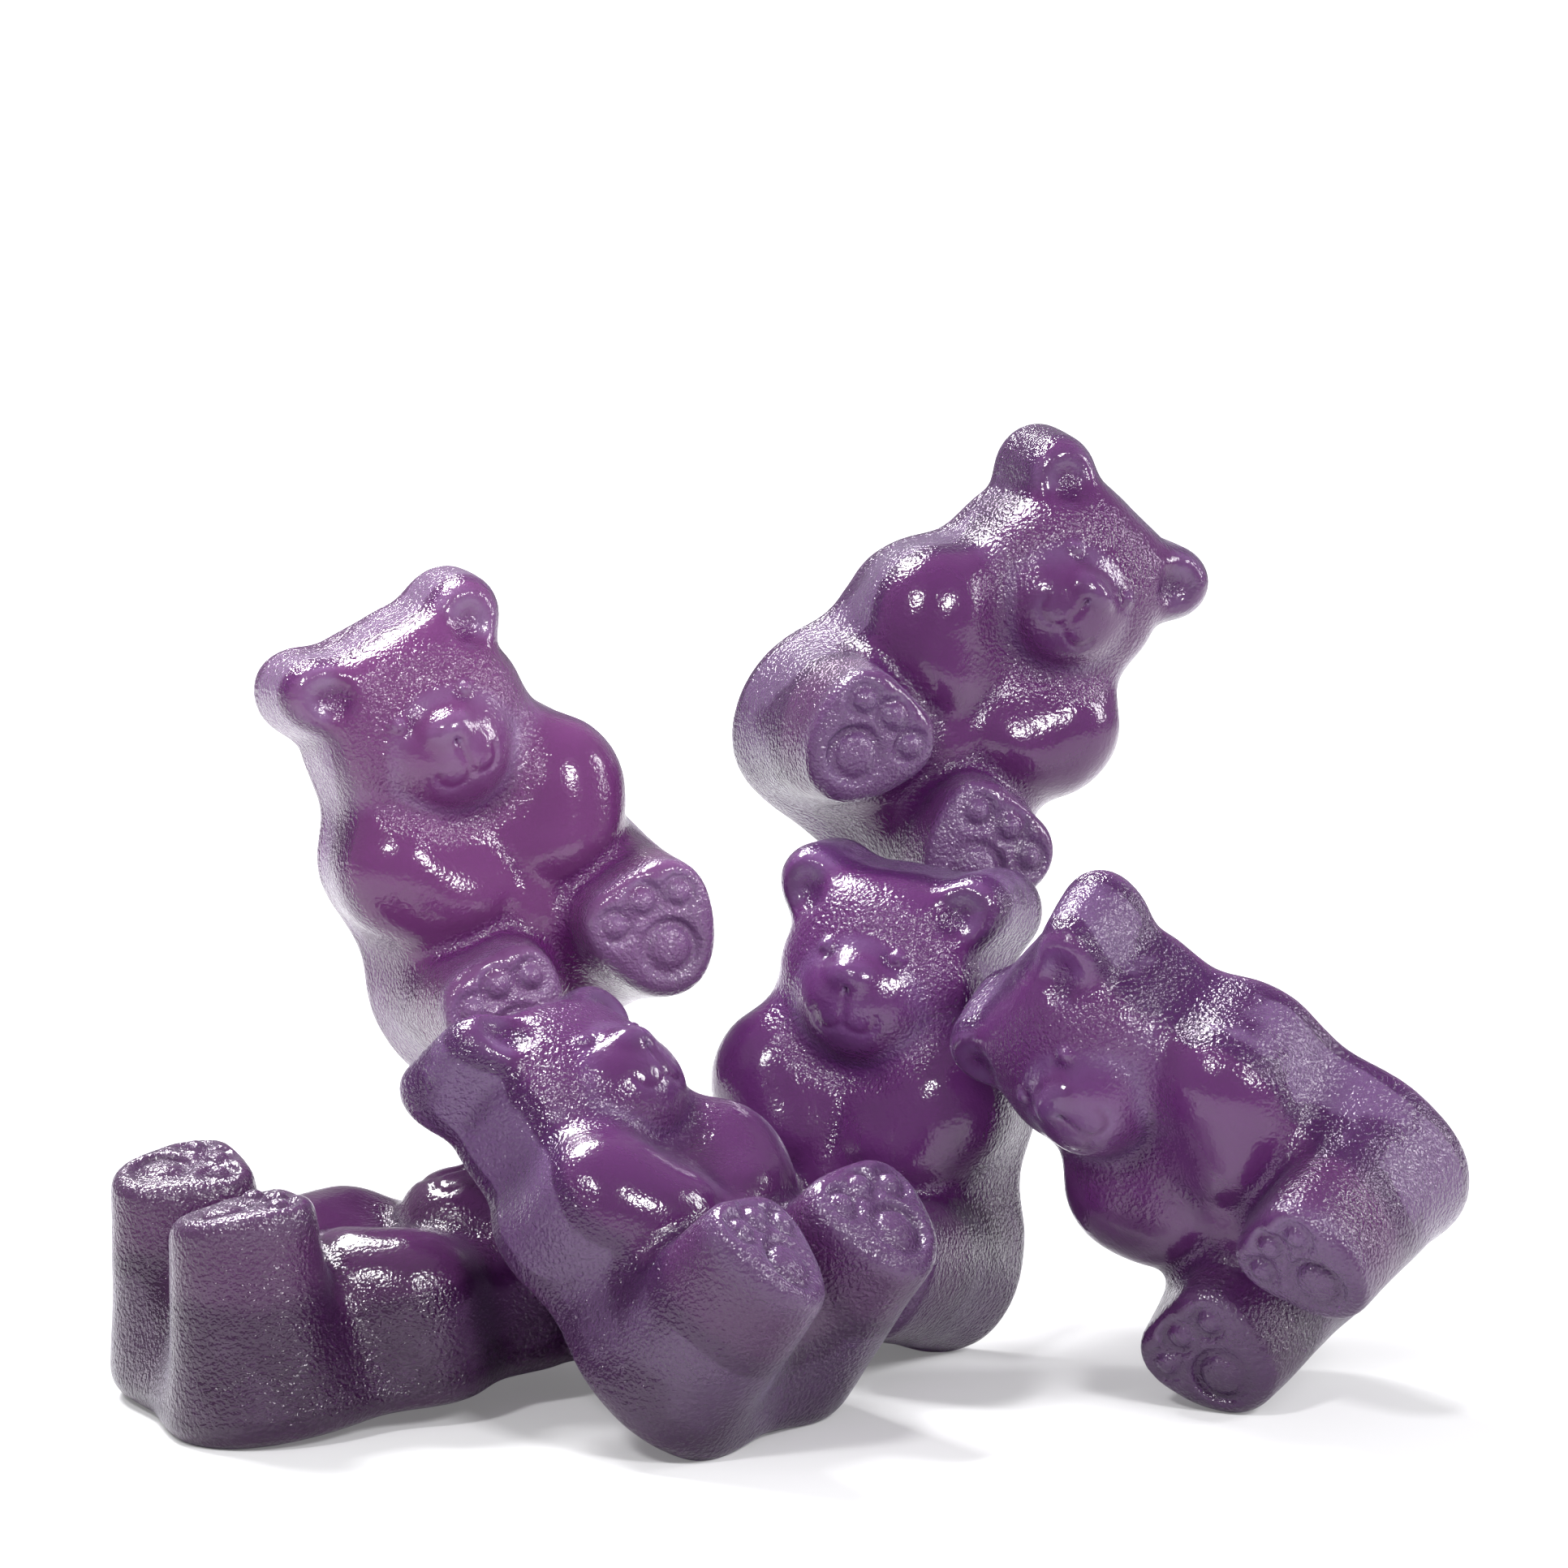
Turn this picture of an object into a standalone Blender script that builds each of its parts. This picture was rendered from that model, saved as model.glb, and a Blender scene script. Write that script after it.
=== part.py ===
"""Six moulded gelatine bears, lying and standing in a loose pile.

Frame: +Z up, the pile seen from -Y, all lengths in metres.
Each bear is one closed solid: rounded lobes cast against a flat back, with
side walls that taper towards the front as a starch mould leaves them.
"""
import math

import bmesh
import bpy
from mathutils import Euler, Matrix, Vector

MM = 0.001

# Overall sizes of one bear.
HEIGHT = 24.0 * MM            # feet to ear tips
DEPTH = 10.7 * MM             # flat back to soles
DRAFT = math.radians(6.0)     # taper of the side walls
BACK_ROLL = 1.2 * MM          # rounding where the walls meet the flat back
MID = HEIGHT / 2              # origin of a bear, half way up ...
MID_DEPTH = 4.0 * MM          # ... and this far in front of its back

# Mesh sizes.
VOXEL = 0.34 * MM
FACES_PER_BEAR = 1560
SMOOTH_STEPS = 7

# Floor: each low bear is set this deep and cut flat.
FLOOR_SLAB = 90.0 * MM

# Columns with a rolled front edge, in mm: x, z of the centre, half width,
# half height, turn in degrees, front height, roll of the front edge.
COLUMNS = {
    "trunk": (0.0, 8.8, 5.0, 6.6, 0, 6.8, 3.2),
    "head": (0.0, 17.9, 4.9, 4.5, 0, 7.7, 3.2),
    "brow": (0.0, 20.9, 5.0, 1.9, 0, 6.1, 1.9),
}
SIDE_COLUMNS = {              # one on each side
    "ear": (4.35, 21.9, 1.45, 1.5, 0, 5.9, 1.4),
    "arm": (4.7, 12.0, 2.2, 2.8, -17, 7.0, 2.0),
    "hip": (3.6, 4.6, 3.2, 3.2, 0, 4.6, 2.4),
}
# Rounded lobes in mm: x, depth, z of the centre, then the three half sizes.
LOBES = {
    "muzzle": (0.0, 6.7, 16.8, 2.95, 2.8, 2.95),
    "nose": (0.0, 8.75, 18.2, 1.15, 0.95, 0.85),
    "belly": (0.0, 4.2, 7.6, 2.9, 3.6, 3.6),
    "chin_fill": (0.0, 3.6, 13.6, 4.6, 3.2, 3.4),
    "seat_fill": (0.0, 2.2, 4.0, 4.4, 4.2, 3.2),
}
SIDE_LOBES = {
    "shoulder": (4.3, 4.6, 12.2, 3.1, 4.1, 3.3),
    "hand": (2.4, 5.9, 9.5, 2.4, 2.9, 1.8),
    "eye": (2.0, 7.35, 19.25, 0.65, 0.8, 0.6),
    "waist_fill": (4.9, 3.2, 8.6, 2.4, 3.0, 2.6),
    "neck_fill": (3.4, 2.6, 15.4, 2.6, 3.4, 2.6),
}
# Leg: a column whose outline joins a row of toes to a round heel.
LEG_TOES = ((2.75, 6.0), (5.25, 6.0), 1.5)      # two ends and radius, mm
LEG_HEEL = (4.15, 3.75, 2.25)                     # centre and radius, mm
SOLE_CANT = (0.13, 0.05)                        # rise of the sole sideways, upwards
SOLE_HEIGHT = 10.6
SOLE_ROLL = 0.7
TOE_PADS = ((2.4, 5.95, 0.75), (4.05, 6.45, 0.82), (5.7, 6.0, 0.75))
HEEL_PAD = (4.2, 3.75, 1.15)
PAD_DEPTH = 0.45
EAR_DIMPLE = (4.05, 6.5, 21.65, 1.1, 1.0, 1.15)

# The six bears: turn about X, Y, Z in degrees, then the centre in mm.
PLACES = {
    "bear_upper_left": ((-6, -26, 21), (-14.4, 7.4, 24.5)),
    "bear_upper_right": ((-4, 44, 14), (9.9, 15.8, 30.9)),
    "bear_centre_standing": ((-10, 6, -23), (3.5, 3.1, 12.2)),
    "bear_right_leaning": ((31, -41, -52), (18.9, -6.8, 12.4)),
    "bear_front_leaning": ((-48, 0, 54), (-5.5, -10.5, 10.2)),
    "bear_left_lying": ((-84, 2, -66), (-19.3, -6.5, 5.1)),
}
ON_FLOOR = ("bear_centre_standing", "bear_right_leaning", "bear_front_leaning", "bear_left_lying")

for old in list(bpy.data.objects):
    bpy.data.objects.remove(old, do_unlink=True)
scene = bpy.context.scene


def gel(name):
    """Soft purple gel."""
    m = bpy.data.materials.new(name)
    m.use_nodes = True
    b = m.node_tree.nodes["Principled BSDF"]
    b.inputs["Base Color"].default_value = (0.16, 0.06, 0.21, 1)
    b.inputs["Roughness"].default_value = 0.3
    return m


def ellipse(cx, cz, rx, rz, turn, n=40):
    """Outline points and the outward direction at each of them."""
    c, s = math.cos(math.radians(turn)), math.sin(math.radians(turn))
    out = []
    for i in range(n):
        a = 2 * math.pi * i / n
        u, v = rx * math.cos(a), rz * math.sin(a)
        p, q = math.cos(a) / rx, math.sin(a) / rz
        h = math.hypot(p, q)
        p, q = p / h, q / h
        out.append(((cx + c * u - s * v, cz + s * u + c * v), (c * p - s * q, s * p + c * q)))
    return out


def sole_outline(n_arc=10):
    """Rounded triangle: two toe corners and a round heel, as one hull."""
    (ax, az), (bx, bz), r = LEG_TOES
    hx, hz, hr = LEG_HEEL
    circles = (((bx, bz), r), ((ax, az), r), ((hx, hz), hr))
    out = []
    for k, (centre, rad) in enumerate(circles):
        prev, nxt = circles[k - 1], circles[(k + 1) % 3]

        def side(a, b):        # outward normal of the common tangent from a to b
            (x0, z0), r0 = a
            (x1, z1), r1 = b
            d = math.hypot(x1 - x0, z1 - z0)
            t = math.atan2(z1 - z0, x1 - x0) - math.pi / 2
            return t + math.asin((r1 - r0) / d)

        a0, a1 = side(prev, (centre, rad)), side((centre, rad), nxt)
        while a1 < a0:
            a1 += 2 * math.pi
        for i in range(n_arc + 1):
            a = a0 + (a1 - a0) * i / n_arc
            nrm = (math.cos(a), math.sin(a))
            out.append(((centre[0] + rad * nrm[0], centre[1] + rad * nrm[1]), nrm))
    return out


def column(bm, outline, top, roll, mirror=False, tilt=None):
    """Drafted wall from the back up to `top`, its front edge rolled over."""
    rings = [(0.0, math.tan(DRAFT) * top)]
    rings += [(top * t, math.tan(DRAFT) * top * (1 - t)) for t in (0.25, 0.5, 0.75) if top * t < top - roll]
    steps = 6
    rings += [(top - roll * (1 - math.sin(math.pi / 2 * i / steps)),
               math.tan(DRAFT) * roll * (1 - i / steps) - roll * (1 - math.cos(math.pi / 2 * i / steps)))
              for i in range(steps + 1)]
    cx = sum(p[0] for p, _ in outline) / len(outline)
    cz = sum(p[1] for p, _ in outline) / len(outline)
    reach = min(math.hypot(p[0] - cx, p[1] - cz) for p, _ in outline)
    rows = []
    for w, grow in rings:
        row = []
        for (px, pz), (nx, nz) in outline:
            g = max(grow, -0.93 * reach)
            x, z = px + g * nx, pz + g * nz
            lift = (tilt[0] * (x - cx) + tilt[1] * (z - cz)) * w / top if tilt else 0.0
            sx = -x if mirror else x
            row.append(bm.verts.new((sx * MM, -(w + lift) * MM, z * MM)))
        rows.append(row)
    n = len(outline)
    for lo, hi in zip(rows, rows[1:]):
        for i in range(n):
            bm.faces.new((lo[i], lo[(i + 1) % n], hi[(i + 1) % n], hi[i]))
    bm.faces.new(rows[0])
    bm.faces.new(rows[-1])


def lobe(bm, x, w, z, rx, rw, rz):
    m = Matrix.Translation((x * MM, -w * MM, z * MM)) @ Matrix.Diagonal((rx * MM, rw * MM, rz * MM, 1))
    bmesh.ops.create_uvsphere(bm, u_segments=28, v_segments=18, radius=1.0, matrix=m)


def new_object(name, bm, hidden=False):
    bmesh.ops.recalc_face_normals(bm, faces=bm.faces[:])
    mesh = bpy.data.meshes.new(name)
    bm.to_mesh(mesh)
    bm.free()
    ob = bpy.data.objects.new(name, mesh)
    scene.collection.objects.link(ob)
    if hidden:
        ob.hide_render = True
        ob.display_type = "WIRE"
    return ob


def parts_of(build):
    """Each lobe or column as its own closed shell, gathered in one mesh."""
    bm = bmesh.new()
    build(bm)
    return bm


def all_lobes(bm):
    for cx, cz, rx, rz, turn, top, roll in COLUMNS.values():
        column(bm, ellipse(cx, cz, rx, rz, turn), top, roll)
    for cx, cz, rx, rz, turn, top, roll in SIDE_COLUMNS.values():
        for mirror in (False, True):
            column(bm, ellipse(cx, cz, rx, rz, turn), top, roll, mirror)
    for mirror in (False, True):
        column(bm, sole_outline(), SOLE_HEIGHT, SOLE_ROLL, mirror, SOLE_CANT)
    for sizes in LOBES.values():
        lobe(bm, *sizes)
    for x, w, z, rx, rw, rz in SIDE_LOBES.values():
        for s in (1, -1):
            lobe(bm, s * x, w, z, rx, rw, rz)


def hollows(bm):
    for s in (1, -1):
        x, w, z, rx, rw, rz = EAR_DIMPLE
        lobe(bm, s * x, w, z, rx, rw, rz)
        for x, z, r in (*TOE_PADS, HEEL_PAD):
            w = SOLE_HEIGHT + SOLE_CANT[0] * (x - LEG_HEEL[0]) + SOLE_CANT[1] * (z - 4.4)
            lobe(bm, s * x, w + 0.35, z, r, PAD_DEPTH + 0.35, r)


# One bear, cast from its lobes.
cast = new_object("bear_cast", parts_of(all_lobes), hidden=True)
skin = cast.modifiers.new("one skin", "REMESH")
skin.mode, skin.voxel_size = "VOXEL", VOXEL
soft = cast.modifiers.new("soft gel", "SMOOTH")
soft.factor, soft.iterations = 0.5, SMOOTH_STEPS
press = new_object("pad_press", parts_of(hollows), hidden=True)
dents = cast.modifiers.new("paw pads and ear dimples", "BOOLEAN")
dents.operation, dents.object, dents.solver = "DIFFERENCE", press, "EXACT"

bm = bmesh.new()
bmesh.ops.create_cube(bm, size=1.0, matrix=Matrix.Translation((0, FLOOR_SLAB / 2, MID)) @ Matrix.Scale(FLOOR_SLAB, 4))
back_plate = new_object("back_plate", bm, hidden=True)
flat = cast.modifiers.new("flat back", "BOOLEAN")
flat.operation, flat.object, flat.solver = "DIFFERENCE", back_plate, "EXACT"
thin = cast.modifiers.new("fewer faces", "DECIMATE")
bpy.context.view_layer.update()
got = cast.evaluated_get(bpy.context.evaluated_depsgraph_get())
count = sum(len(p.vertices) - 2 for p in got.data.polygons)
thin.ratio = FACES_PER_BEAR / count
thin.use_collapse_triangulate = True
bpy.context.view_layer.update()
bear_mesh = bpy.data.meshes.new_from_object(cast.evaluated_get(bpy.context.evaluated_depsgraph_get()))
bear_mesh.transform(Matrix.Translation((0, MID_DEPTH, -MID)))
for helper in (cast, press, back_plate):
    bpy.data.objects.remove(helper, do_unlink=True)

# The pile stands on a cutter that leaves a small flat under each low bear.
bm = bmesh.new()
bmesh.ops.create_cube(bm, size=1.0, matrix=Matrix.Translation((0, 0, -FLOOR_SLAB / 2)) @ Matrix.Scale(FLOOR_SLAB, 4))
floor_cutter = new_object("floor_cutter", bm, hidden=True)

material = gel("gel")
bears = []
for name, (turn, place) in PLACES.items():
    mesh = bear_mesh.copy()
    mesh.name = name
    mesh.materials.clear()
    mesh.materials.append(material)
    spin = Euler([math.radians(a) for a in turn], "XYZ").to_matrix().to_4x4()
    mesh.transform(Matrix.Translation(Vector(place) * MM) @ spin)
    ob = bpy.data.objects.new(name, mesh)
    scene.collection.objects.link(ob)
    if name in ON_FLOOR:
        cut = ob.modifiers.new("rests on the floor", "BOOLEAN")
        cut.operation, cut.object, cut.solver = "DIFFERENCE", floor_cutter, "EXACT"
    bears.append(ob)

# Centre the pile on the origin.
bpy.context.view_layer.update()
corners = [ob.matrix_world @ v.co for ob in bears for v in ob.data.vertices]
mid_x = (min(c.x for c in corners) + max(c.x for c in corners)) / 2
mid_y = (min(c.y for c in corners) + max(c.y for c in corners)) / 2
for ob in bears:
    ob.location = (-mid_x, -mid_y, 0.0)
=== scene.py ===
"""Purple gummy bears lying and standing in a loose pile on a white surface."""

import math

import bpy
import numpy as np
from mathutils import Euler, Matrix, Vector


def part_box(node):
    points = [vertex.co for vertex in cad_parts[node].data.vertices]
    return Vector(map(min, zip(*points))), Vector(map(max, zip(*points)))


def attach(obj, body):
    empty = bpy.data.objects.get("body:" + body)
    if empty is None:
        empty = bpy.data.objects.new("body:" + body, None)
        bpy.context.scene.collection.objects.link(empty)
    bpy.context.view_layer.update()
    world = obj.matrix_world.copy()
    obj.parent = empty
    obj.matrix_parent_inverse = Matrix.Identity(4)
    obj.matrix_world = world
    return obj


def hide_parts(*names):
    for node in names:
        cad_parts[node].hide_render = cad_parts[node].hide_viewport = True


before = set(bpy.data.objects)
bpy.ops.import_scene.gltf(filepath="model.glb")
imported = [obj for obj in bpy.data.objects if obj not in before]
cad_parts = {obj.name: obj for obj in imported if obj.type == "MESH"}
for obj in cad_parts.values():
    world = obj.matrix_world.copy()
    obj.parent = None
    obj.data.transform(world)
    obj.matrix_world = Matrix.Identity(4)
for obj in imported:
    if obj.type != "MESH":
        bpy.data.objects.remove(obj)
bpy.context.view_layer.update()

# ---------------------------------------------------------------- master bear
# One bear as the starch mould gives it: drafted posts rising from a flat back,
# rounded over at the front, with a muzzle, hugging arms and paw-padded soles.
# It is worked out as one smooth solid and then skinned with a fine even mesh.

MM = 0.001
DRAFT = math.tan(math.radians(6.0))
NET_STEP = 0.17          # size of the skin's cells, mm
HALF_HEIGHT = 12.0       # the bear's origin, mm above its feet
HALF_DEPTH = 4.0         # and in front of its back


def smax(a, b, k):
    h = np.maximum(k - np.abs(a - b), 0.0) / k
    return np.maximum(a, b) + h * h * k * 0.25


def smin(a, b, k):
    h = np.maximum(k - np.abs(a - b), 0.0) / k
    return np.minimum(a, b) - h * h * k * 0.25


def oval(x, z, cx, cz, rx, rz, turn=0.0):
    c, s = math.cos(turn), math.sin(turn)
    u, v = c * (x - cx) + s * (z - cz), -s * (x - cx) + c * (z - cz)
    k0 = np.sqrt((u / rx) ** 2 + (v / rz) ** 2) + 1e-9
    k1 = np.sqrt((u / rx**2) ** 2 + (v / rz**2) ** 2) + 1e-9
    return k0 * (k0 - 1.0) / k1


def bar(x, z, ax, az, bx, bz, ra, rb):
    dx, dz = bx - ax, bz - az
    t = np.clip(((x - ax) * dx + (z - az) * dz) / (dx * dx + dz * dz), 0, 1)
    return np.hypot(x - ax - t * dx, z - az - t * dz) - (ra + (rb - ra) * t)


def ball(x, w, z, centre, r):
    u, v, t = (x - centre[0]) / r[0], (w - centre[1]) / r[1], (z - centre[2]) / r[2]
    k0 = np.sqrt(u * u + v * v + t * t) + 1e-9
    k1 = np.sqrt((u / r[0]) ** 2 + (v / r[1]) ** 2 + (t / r[2]) ** 2) + 1e-9
    return k0 * (k0 - 1.0) / k1


def post(outline, w, top, roll):
    """A drafted wall up to `top`, with a rolled front edge."""
    side = (outline - DRAFT * (top - w)) * math.cos(math.atan(DRAFT))
    return smax(side, w - top, roll)


def sole_top(ax, z):
    return 10.6 + 0.13 * (ax - 4.2) + 0.05 * (z - 4.4)


def bear(x, w, z):
    """Distance to the skin in mm: x sideways, w from the back forwards, z up."""
    ax = np.sqrt(x * x + 0.02)
    back = np.clip(1.0 - w / 8.0, 0, 1)

    def soft(front, rear):          # blends are crisp in front, soft at the back
        return front + (rear - front) * back

    trunk = post(oval(x, z, 0, 8.8, 5.0, 6.6), w, 6.8, 4.0)
    head = post(oval(x, z, 0, 17.9, 4.9, 4.5), w, 7.7, 4.2)
    brow = post(bar(ax, z, 0.0, 20.4, 3.6, 21.6, 1.9, 1.2), w, 6.1, 2.6)
    ear = post(oval(ax, z, 4.35, 21.9, 1.45, 1.5), w, 5.9, 2.0)
    d = smin(smin(head, brow, 1.6), ear, 1.1)
    d = smin(d, trunk, soft(0.7, 3.0))
    muzzle = ball(x, w, z, (0, 6.5, 16.7), (3.0, 2.45, 2.9))
    d = smin(d, muzzle, 0.7)
    d = smin(d, ball(x, w, z, (0, 8.35, 17.9), (1.1, 0.8, 0.75)), 0.6)
    arm = smin(post(oval(ax, z, 4.7, 12.0, 2.2, 2.8, -0.3), w, 6.6, 2.4),
               ball(ax, w, z, (4.2, 4.4, 12.1), (3.0, 3.5, 3.4)), 1.6)
    hand = ball(ax, w, z, (2.5, 5.5, 9.8), (2.5, 2.4, 1.7))
    d = smin(d, smin(arm, hand, 2.0), soft(1.4, 3.2))
    d = smin(d, ball(x, w, z, (0, 4.2, 7.6), (2.8, 3.4, 3.4)), 0.8)
    # leg: a post with a canted sole, its outline a row of toes and a round heel
    sole = smin(bar(ax, z, 2.75, 6.0, 5.25, 6.0, 1.45, 1.5), oval(ax, z, 4.15, 3.75, 2.2, 2.25), 2.6)
    leg = post(sole - 0.1, w - (sole_top(ax, z) - 10.6), 10.6, 0.9)
    d = smin(d, leg, soft(0.8, 3.6))
    d = smin(d, post(bar(ax, z, 0, 3.6, 4.0, 4.2, 2.6, 2.9), w, 2.6, 2.4), 1.6)
    # ear hollows, eyes in shallow pits, mouth
    d = smax(d, -ball(ax, w, z, (4.05, 6.5, 21.65), (1.15, 0.95, 1.2)), 0.6)
    d = smax(d, -ball(ax, w, z, (1.85, 8.1, 19.1), (0.6, 0.4, 0.5)), 0.4)
    d = smin(d, ball(ax, w, z, (1.85, 7.55, 19.05), (0.36, 0.36, 0.34)), 0.25)
    line_z = np.maximum(np.maximum(z - 17.4, 15.9 - z), 0)
    groove = np.sqrt(x**2 + line_z**2 + muzzle**2) - 0.05
    arc = np.abs(np.hypot(ax - 0.8, z - 16.1) - 0.8)
    arc = np.where(z < 16.1, arc, np.hypot(np.minimum(np.abs(ax - 1.6), ax), z - 16.1))
    groove = np.minimum(groove, np.sqrt(arc**2 + muzzle**2)) - 0.02
    d = smax(d, -groove, 0.3)
    # soles: three ringed toes and a ringed heel pad, each a low dome
    for cx, cz, r in ((2.35, 5.9, 0.66), (4.05, 6.4, 0.72), (5.75, 5.95, 0.66), (4.2, 3.75, 1.2)):
        top = sole_top(cx, cz)
        d = smax(d, -(np.sqrt((np.hypot(ax - cx, z - cz) - r) ** 2 + (w - top) ** 2) - 0.24), 0.3)
        d = smin(d, ball(ax, w, z, (cx, top - 0.3, cz), (0.75 * r, 0.45, 0.75 * r)), 0.3)
    return smax(d, -w, 1.4)


def skin(f, lo, hi, step):
    """Even quad skin of the solid f < 0: one point in every cell that the surface crosses."""
    n = [int(math.ceil((h - l) / step)) + 1 for l, h in zip(lo, hi)]
    axes = [l + step * np.arange(k) for l, k in zip(lo, n)]
    v = f(*np.meshgrid(*axes, indexing="ij"))
    inside = v < 0
    total = np.zeros([k - 1 for k in n] + [3])
    hits = np.zeros([k - 1 for k in n])
    cells = np.indices(hits.shape).transpose(1, 2, 3, 0)
    for axis in range(3):
        others = [a for a in range(3) if a != axis]
        for da in (0, 1):
            for db in (0, 1):
                pick = [slice(0, k - 1) for k in n]
                pick[others[0]] = slice(da, n[others[0]] - 1 + da)
                pick[others[1]] = slice(db, n[others[1]] - 1 + db)
                far = list(pick)
                pick[axis], far[axis] = slice(0, n[axis] - 1), slice(1, n[axis])
                a, b = v[tuple(pick)], v[tuple(far)]
                cross = inside[tuple(pick)] != inside[tuple(far)]
                t = np.where(cross, a / np.where(cross, a - b, 1.0), 0.0)
                p = cells.astype(float).copy()
                p[..., axis] += t
                p[..., others[0]] += da
                p[..., others[1]] += db
                total += p * cross[..., None]
                hits += cross
    used = hits > 0
    index = -np.ones(hits.shape, dtype=np.int64)
    index[used] = np.arange(used.sum())
    points = total[used] / hits[used][:, None] * step + np.array(lo)
    quads = []
    for axis in range(3):
        b, c = (axis + 1) % 3, (axis + 2) % 3
        near = [slice(1, k - 1) for k in n]
        far = list(near)
        near[axis], far[axis] = slice(0, n[axis] - 1), slice(1, n[axis])
        s0, s1 = inside[tuple(near)], inside[tuple(far)]
        at = np.argwhere(s0 != s1)
        flip = s0[tuple(at.T)]
        at[:, b] += 1
        at[:, c] += 1
        corner = []
        for db, dc in ((1, 1), (0, 1), (0, 0), (1, 0)):
            k = at.copy()
            k[:, b] -= db
            k[:, c] -= dc
            corner.append(index[tuple(k.T)])
        q = np.stack(corner, 1)
        q[~flip] = q[~flip][:, ::-1]
        quads.append(q)
    return points, np.concatenate(quads)


points, quads = skin(bear, (-9, -1, -1), (9, 13, 26), NET_STEP)
x, w, z = points.T
NUDGE = 0.05             # step for slopes, mm
normal = np.stack([bear(x + NUDGE, w, z) - bear(x - NUDGE, w, z),
                   bear(x, w + NUDGE, z) - bear(x, w - NUDGE, z),
                   bear(x, w, z + NUDGE) - bear(x, w, z - NUDGE)], 1)
normal /= np.linalg.norm(normal, axis=1)[:, None] + 1e-9
# how much gel lies under each point, 0 thin to 1 thick
PROBES = (1.0, 2.0, 3.0, 4.0, 5.0)      # depths looked at, mm
FULL = 2.6                              # mean distance to the skin that counts as thick, mm
gel_under = sum(np.clip(-bear(*(points - normal * t).T), 0, 4) for t in PROBES) / 5 / FULL
# 1 on the faces the mould floor shaped, 0 on its frosted side walls
front = np.clip((normal[:, 1] - 0.1) / 0.6, 0, 1) * np.clip((w - 3.0) / 3.0, 0, 1)
# 1 in the middle of a side wall, where a pale window is painted in as a reflection inside the gel
wall_reflection = (1 - front) * np.clip((8.2 - w) / 2.6, 0, 1) * np.clip(w / 1.6, 0, 1)


def bend(h):
    """Mean curvature over about h mm: positive on ridges, negative in creases."""
    steps = ((h, 0, 0), (-h, 0, 0), (0, h, 0), (0, -h, 0), (0, 0, h), (0, 0, -h))
    around = sum(bear(x + a, w + b, z + c) for a, b, c in steps)
    return (around - 6 * bear(x, w, z)) / h ** 2


# how deep in a fold each point lies; the shader darkens these folds with painted shade and frosts them
crease = np.clip(-bend(0.7) / 1.6, 0, 1) * 0.6 + np.clip(-bend(1.3) / 0.9, 0, 1) * 0.4
# how sharp a ridge each point lies on; the shader lightens these with a painted highlight
ridge_highlight = np.clip((bend(0.6) - 0.25) / 1.6, 0, 1)
sole = front * np.clip((7.6 - z) / 1.2, 0, 1) * np.clip((w - 8.6) / 0.8, 0, 1)
crease *= 1 - 0.8 * sole
# 1 where the skin is frosted: walls, hollows, the ground round the muzzle and the soles
collar = front * np.clip(1.6 - np.abs(np.hypot(x, z - 17.2) - 3.9) / 1.0, 0, 1)
frost = np.clip(np.maximum.reduce([1 - front, 1.4 * crease, 0.8 * sole, 0.9 * collar]), 0, 1)

mould = bpy.data.meshes.new("bear_mould")
corners = np.stack([x, HALF_DEPTH - w, z - HALF_HEIGHT], 1) * MM
mould.from_pydata(corners.tolist(), [], quads[:, ::-1].tolist())
mould.shade_smooth()
for name, values in (("gel_under", gel_under), ("frost", frost), ("wall_reflection", wall_reflection),
                     ("crease", crease), ("ridge_highlight", ridge_highlight), ("sole", sole)):
    mould.attributes.new(name, "FLOAT", "POINT").data.foreach_set("value", values.astype(np.float32))

# ------------------------------------------------------------------ gel shader
# Purple gelatine: thin moist coat, cloudy body, paler where it is thin, with painted shade in creases and
# towards the table, painted highlights on ridges, painted reflections on side walls, frosted and grainy on
# walls, hollows and soles.


def node(tree, kind, **inputs):
    n = tree.nodes.new(kind)
    for key, value in inputs.items():
        n.inputs[key.replace("_", " ")].default_value = value
    return n


def blend(tree, a, b, factor):
    """Colour a to colour b by a 0 to 1 value, each a socket or a plain colour."""
    mix = tree.nodes.new("ShaderNodeMix")
    mix.data_type = "RGBA"
    for socket, value in ((mix.inputs[0], factor), (mix.inputs[6], a), (mix.inputs[7], b)):
        if isinstance(value, tuple):
            socket.default_value = (*value, 1)
        else:
            tree.links.new(value, socket)
    return mix.outputs[2]


def ranged(tree, value, low, high, to_low, to_high):
    """Value from low..high mapped to to_low..to_high, eased and held inside."""
    n = tree.nodes.new("ShaderNodeMapRange")
    n.interpolation_type = "SMOOTHSTEP"
    tree.links.new(value, n.inputs["Value"])
    for key, v in (("From Min", low), ("From Max", high), ("To Min", to_low), ("To Max", to_high)):
        n.inputs[key].default_value = v
    return n.outputs[0]


def stored(tree, name):
    n = tree.nodes.new("ShaderNodeAttribute")
    n.attribute_name = name
    return n.outputs["Fac"]


def plus(tree, value, factor, add):
    """value * factor + add, where add is a socket."""
    n = tree.nodes.new("ShaderNodeMath")
    n.operation = "MULTIPLY_ADD"
    tree.links.new(value, n.inputs[0])
    n.inputs[1].default_value = factor
    tree.links.new(add, n.inputs[2])
    return n.outputs[0]


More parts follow.
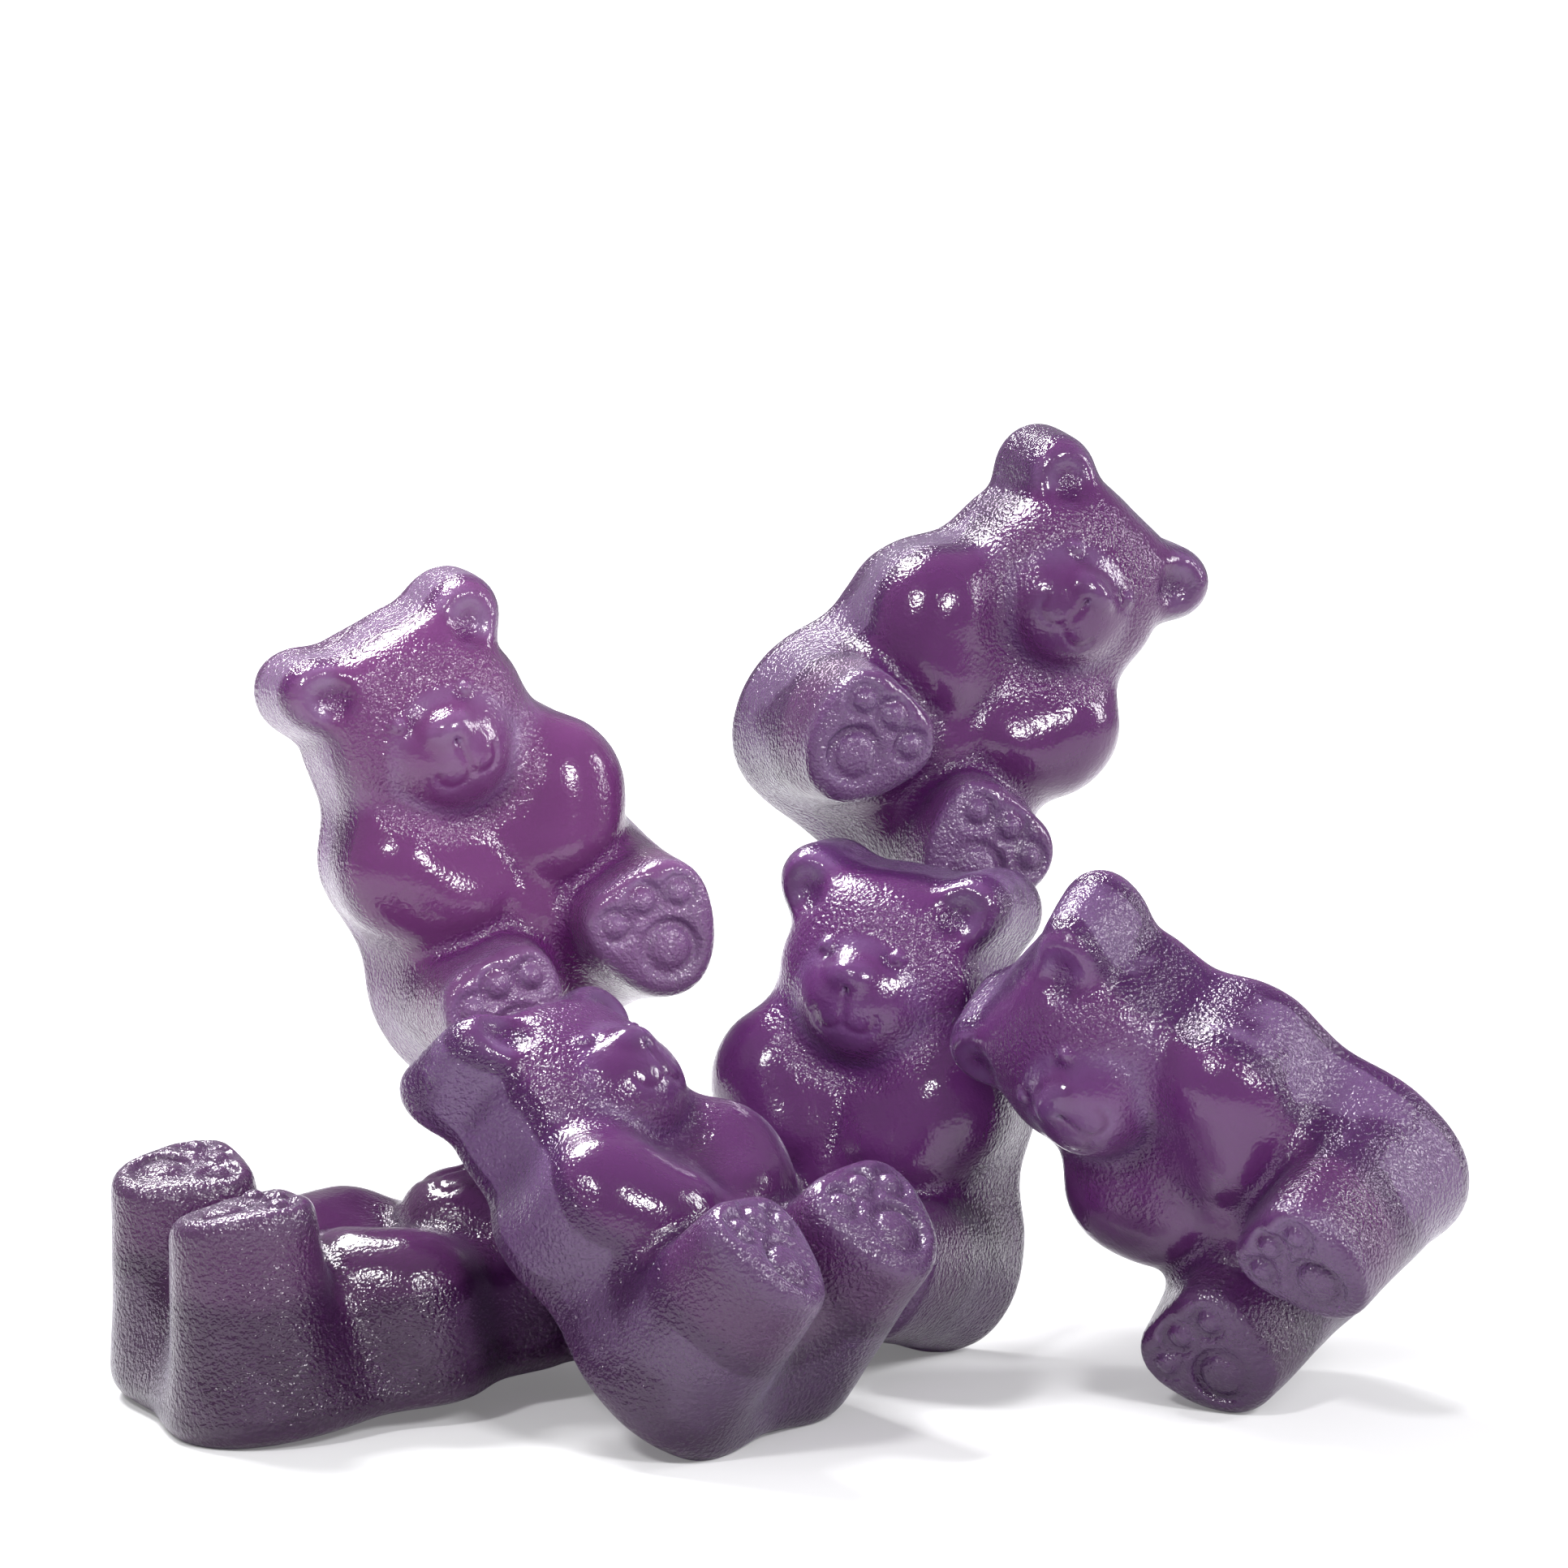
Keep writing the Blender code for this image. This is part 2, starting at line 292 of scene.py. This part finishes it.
def gel_material(name, thick, pale_and_highlight, dark_tone_and_shade, low, seen=0.48, density=90.0):
    """thick, pale_and_highlight, dark_tone_and_shade, low: colours of the body; of thin rims and soles,
    also painted as highlights on ridges and reflections on side walls; of dark cloudy blotches, also
    painted as shade in creases; and of the painted shade near the table.
    """
    m = bpy.data.materials.new(name)
    m.use_nodes = True
    t = m.node_tree
    b = t.nodes["Principled BSDF"]
    link = t.links.new
    place = t.nodes.new("ShaderNodeTexCoord").outputs["Object"]

    def noise(scale, detail=2.0):
        n = node(t, "ShaderNodeTexNoise", Scale=scale, Detail=detail, Roughness=0.55)
        link(place, n.inputs["Vector"])
        return n.outputs["Fac"]

    cloud, broad = noise(260.0, 3.0), noise(130.0, 1.0)
    depth = plus(t, cloud, 0.5, stored(t, "gel_under"))
    colour = blend(t, pale_and_highlight, thick, ranged(t, depth, 0.30, 0.85, 0.0, 1.0))
    # dark cloudy blotches at random, and on side walls pale greyish windows with ragged dark borders, a
    # painted reflection inside the gel
    ragged = plus(t, noise(420.0, 5.0), 0.5, plus(t, broad, 0.9, stored(t, "wall_reflection")))
    colour = blend(t, colour, dark_tone_and_shade, ranged(t, ragged, 1.00, 1.40, 0.0, 0.85))
    colour = blend(t, colour, pale_and_highlight, ranged(t, ragged, 1.60, 1.72, 0.0, 0.9))
    # painted highlight: ridges lightened towards the pale colour
    colour = blend(t, colour, pale_and_highlight, ranged(t, stored(t, "ridge_highlight"), 0.1, 0.9, 0.0, 0.3))
    colour = blend(t, colour, pale_and_highlight, ranged(t, stored(t, "sole"), 0.0, 1.0, 0.0, 0.75))
    # painted shade: creases darkened towards the dark colour
    painted_fold_shade = plus(t, broad, 0.6, stored(t, "crease"))
    colour = blend(t, colour, dark_tone_and_shade, ranged(t, painted_fold_shade, 0.40, 0.95, 0.0, 0.6))
    # painted shade: the colour darkens towards the table, where little light gets in
    split = t.nodes.new("ShaderNodeSeparateXYZ")
    link(place, split.inputs[0])
    height = plus(t, broad, 0.008, split.outputs["Z"])
    colour = blend(t, colour, low, ranged(t, height, 0.004, 0.020, 0.7, 0.0))
    link(colour, b.inputs["Base Color"])
    # wet domes, satin frosted walls and hollows, all uneven
    frost = plus(t, noise(330.0, 2.0), 0.5, stored(t, "frost"))
    gloss = ranged(t, frost, 0.15, 1.25, 0.06, 0.09)
    link(plus(t, noise(500.0), 0.16, gloss), b.inputs["Roughness"])
    # frosted grain of about a fifth of a millimetre over soft dimpling
    dimple = node(t, "ShaderNodeBump", Distance=0.00012, Strength=0.4)
    link(noise(700.0, 3.0), dimple.inputs["Height"])
    grain = node(t, "ShaderNodeBump", Distance=0.00012)
    link(ranged(t, frost, 0.15, 1.25, 0.18, 1.0), grain.inputs["Strength"])
    link(noise(5200.0, 1.5), grain.inputs["Height"])
    link(dimple.outputs["Normal"], grain.inputs["Normal"])
    link(grain.outputs["Normal"], b.inputs["Normal"])
    link(grain.outputs["Normal"], b.inputs["Coat Normal"])
    for key, value in (("IOR", 1.45), ("Transmission Weight", seen), ("Subsurface Weight", 0.2),
                       ("Subsurface Scale", 0.002), ("Subsurface Radius", (1.0, 0.5, 1.0)),
                       ("Sheen Weight", 0.10), ("Sheen Roughness", 0.3),
                       ("Sheen Tint", (0.72, 0.68, 0.92, 1)),
                       ("Coat Weight", 0.2), ("Coat Roughness", 0.16)):
        b.inputs[key].default_value = value
    fog = node(t, "ShaderNodeVolumeAbsorption", Color=(0.44, 0.10, 0.56, 1), Density=density)
    link(fog.outputs[0], t.nodes["Material Output"].inputs["Volume"])
    return m


# in each gel, low is the colour of the painted shade near the table
purple = gel_material("gel_purple", thick=(0.122, 0.029, 0.142), pale_and_highlight=(0.175, 0.088, 0.225),
                      dark_tone_and_shade=(0.056, 0.004, 0.082), low=(0.034, 0.009, 0.040))
# a darker copy of the purple gel: painted shade for the bear lying flat on the table
purple_shaded = gel_material("gel_purple_shaded", thick=(0.105, 0.031, 0.115), pale_and_highlight=(0.12, 0.062, 0.140),
                    dark_tone_and_shade=(0.034, 0.003, 0.046), low=(0.030, 0.007, 0.034), seen=0.44)
violet = gel_material("gel_violet", thick=(0.105, 0.023, 0.118), pale_and_highlight=(0.165, 0.090, 0.205),
                      dark_tone_and_shade=(0.050, 0.003, 0.070), low=(0.05, 0.014, 0.06))
magenta = gel_material("gel_magenta", thick=(0.165, 0.042, 0.165), pale_and_highlight=(0.26, 0.150, 0.300),
                       dark_tone_and_shade=(0.088, 0.005, 0.104), low=(0.06, 0.018, 0.07))

# ---------------------------------------------------------------------- bears
# Every bear is the same casting, gone slightly uneven as it dried, then turned
# to where it lies in the pile.


def casting_tree():
    """Geometry nodes: mould skin in, one cast and dried bear out."""
    tree = bpy.data.node_groups.new("bear cast", "GeometryNodeTree")
    face = tree.interface
    face.new_socket("Geometry", in_out="INPUT", socket_type="NodeSocketGeometry")
    for label, kind, value in (("Seed", "NodeSocketFloat", 1.0), ("Unevenness", "NodeSocketFloat", 0.00012),
                               ("Lump Size", "NodeSocketFloat", 220.0), ("Swell", "NodeSocketFloat", 0.0)):
        face.new_socket(label, in_out="INPUT", socket_type=kind).default_value = value
    face.new_socket("Gel", in_out="INPUT", socket_type="NodeSocketMaterial")
    face.new_socket("Geometry", in_out="OUTPUT", socket_type="NodeSocketGeometry")
    new, link = tree.nodes.new, tree.links.new
    take, give = new("NodeGroupInput"), new("NodeGroupOutput")
    lumps = new("ShaderNodeTexNoise")
    lumps.noise_dimensions = "4D"
    lumps.inputs["Detail"].default_value = 1.5
    link(take.outputs["Seed"], lumps.inputs["W"])
    link(take.outputs["Lump Size"], lumps.inputs["Scale"])
    centred = new("ShaderNodeMath")
    centred.operation = "SUBTRACT"
    link(lumps.outputs["Fac"], centred.inputs[0])
    centred.inputs[1].default_value = 0.5
    height = new("ShaderNodeMath")
    height.operation = "MULTIPLY_ADD"
    link(centred.outputs[0], height.inputs[0])
    link(take.outputs["Unevenness"], height.inputs[1])
    link(take.outputs["Swell"], height.inputs[2])
    along = new("GeometryNodeInputNormal")
    push = new("ShaderNodeVectorMath")
    push.operation = "SCALE"
    link(along.outputs[0], push.inputs[0])
    link(height.outputs[0], push.inputs["Scale"])
    move = new("GeometryNodeSetPosition")
    link(take.outputs["Geometry"], move.inputs["Geometry"])
    link(push.outputs[0], move.inputs["Offset"])
    real = new("GeometryNodeRealizeInstances")
    link(move.outputs[0], real.inputs[0])
    paint = new("GeometryNodeSetMaterial")
    link(real.outputs[0], paint.inputs["Geometry"])
    link(take.outputs["Gel"], paint.inputs["Material"])
    link(paint.outputs[0], give.inputs[0])
    return tree


casting = casting_tree()


def make_bear(name, turn, gel, seed, unevenness=0.00030):
    """Casts a bear, turns it, and sets it where its own solid lies."""
    ob = bpy.data.objects.new(name, mould.copy())
    bpy.context.scene.collection.objects.link(ob)
    mod = ob.modifiers.new("cast", "NODES")
    mod.node_group = casting
    for label, value in (("Seed", seed), ("Unevenness", unevenness), ("Gel", gel)):
        mod[casting.interface.items_tree[label].identifier] = value
    bpy.context.view_layer.update()
    mesh = bpy.data.meshes.new_from_object(ob.evaluated_get(bpy.context.evaluated_depsgraph_get()))
    ob.modifiers.clear()
    ob.data = mesh
    spin = Euler([math.radians(a) for a in turn], "XYZ").to_matrix().to_4x4()
    mesh.transform(spin)
    co = np.empty(len(mesh.vertices) * 3, dtype=np.float32)
    mesh.vertices.foreach_get("co", co)
    co = co.reshape(-1, 3)
    low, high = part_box(name)
    shift = (np.array(low) + np.array(high)) / 2 - (co.min(0) + co.max(0)) / 2
    co += shift
    co[:, 2] = np.maximum(co[:, 2], 0.0)
    mesh.vertices.foreach_set("co", co.ravel())
    mesh.update()
    mesh.name = name
    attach(ob, "root")
    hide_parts(name)
    return ob


make_bear("bear_left_lying", (-84, 2, -66), purple_shaded, 1.0)
make_bear("bear_front_leaning", (-48, 0, 54), purple, 2.0)
make_bear("bear_centre_standing", (-10, 6, -23), purple, 3.0)
make_bear("bear_right_leaning", (31, -41, -52), purple, 4.0)
make_bear("bear_upper_left", (-6, -26, 21), magenta, 5.0)
make_bear("bear_upper_right", (-4, 44, 14), violet, 6.0)

# ---------------------------------------------------------------------- floor
# White table that fades into the white backdrop and keeps the soft shadows.
floor_mesh = bpy.data.meshes.new("floor")
floor_mesh.from_pydata([(-3, -3, 0), (3, -3, 0), (3, 6, 0), (-3, 6, 0)], [], [(0, 1, 2, 3)])
floor = bpy.data.objects.new("floor", floor_mesh)
bpy.context.scene.collection.objects.link(floor)
floor.location.z = -0.00002
white = bpy.data.materials.new("white_table")
white.use_nodes = True
t = white.node_tree
t.nodes.clear()
out = t.nodes.new("ShaderNodeOutputMaterial")
matt = node(t, "ShaderNodeBsdfDiffuse", Color=(0.62, 0.62, 0.63, 1))
glow = node(t, "ShaderNodeEmission", Color=(1, 1, 1, 1))
ray = t.nodes.new("ShaderNodeLightPath")
far = t.nodes.new("ShaderNodeVectorMath")
far.operation = "LENGTH"
t.links.new(t.nodes.new("ShaderNodeTexCoord").outputs["Object"], far.inputs[0])
fade = ranged(t, far.outputs["Value"], 0.05, 0.20, 0.16, 1.0)
only = t.nodes.new("ShaderNodeMath")
only.operation = "MULTIPLY"
t.links.new(fade, only.inputs[0])
t.links.new(ray.outputs["Is Camera Ray"], only.inputs[1])
t.links.new(only.outputs[0], glow.inputs["Strength"])
both = t.nodes.new("ShaderNodeAddShader")
t.links.new(matt.outputs[0], both.inputs[0])
t.links.new(glow.outputs[0], both.inputs[1])
t.links.new(both.outputs[0], out.inputs[0])
floor_mesh.materials.append(white)

# --------------------------------------------------------------------- lights
# A broad soft light high behind on the left, two weak ones in front and a slim
# one at the right.


def softbox(name, place, aim, size, power):
    lamp = bpy.data.lights.new(name, "AREA")
    lamp.shape = "RECTANGLE"
    lamp.size, lamp.size_y = size
    lamp.energy = power
    ob = bpy.data.objects.new(name, lamp)
    bpy.context.scene.collection.objects.link(ob)
    ob.location = place
    ob.rotation_euler = (Vector(aim) - Vector(place)).to_track_quat("-Z", "Y").to_euler()
    return ob


softbox("back_left", (-0.13, 0.14, 0.30), (0, 0, 0.015), (0.16, 0.10), 2.7)
softbox("front_left", (-0.14, -0.24, 0.26), (0, 0, 0.02), (0.05, 0.05), 0.7)
softbox("front_right", (0.16, -0.24, 0.20), (0, 0, 0.02), (0.07, 0.07), 0.8)
softbox("right_rim", (0.24, 0.02, 0.12), (0, 0, 0.02), (0.04, 0.14), 0.35)

world = bpy.data.worlds.new("white_room")
bpy.context.scene.world = world
world.use_nodes = True
t = world.node_tree
sky = t.nodes["Background"]
sky.inputs["Color"].default_value = (1, 1, 1, 1)
seen = t.nodes.new("ShaderNodeLightPath")
level = node(t, "ShaderNodeMapRange")
level.inputs["To Min"].default_value = 0.38
level.inputs["To Max"].default_value = 1.0
both = t.nodes.new("ShaderNodeMath")
both.operation = "MAXIMUM"
t.links.new(seen.outputs["Is Camera Ray"], both.inputs[0])
t.links.new(seen.outputs["Is Transmission Ray"], both.inputs[1])
t.links.new(both.outputs[0], level.inputs["Value"])
t.links.new(level.outputs[0], sky.inputs["Strength"])

# --------------------------------------------------------------------- camera
# A long lens slightly above the pile.
PITCH = math.radians(9.0)
DISTANCE = 0.307
TARGET = Vector((-0.0001, -0.0007, 0.0280))
lens = bpy.data.cameras.new("camera")
lens.lens = 150
lens.sensor_width = 36
lens.clip_start, lens.clip_end = 0.01, 20
camera = bpy.data.objects.new("camera", lens)
bpy.context.scene.collection.objects.link(camera)
camera.location = TARGET - DISTANCE * Vector((0, math.cos(PITCH), -math.sin(PITCH)))
camera.rotation_euler = (math.pi / 2 - PITCH, 0, 0)
bpy.context.scene.camera = camera
bpy.context.scene.view_settings.view_transform = "Standard"
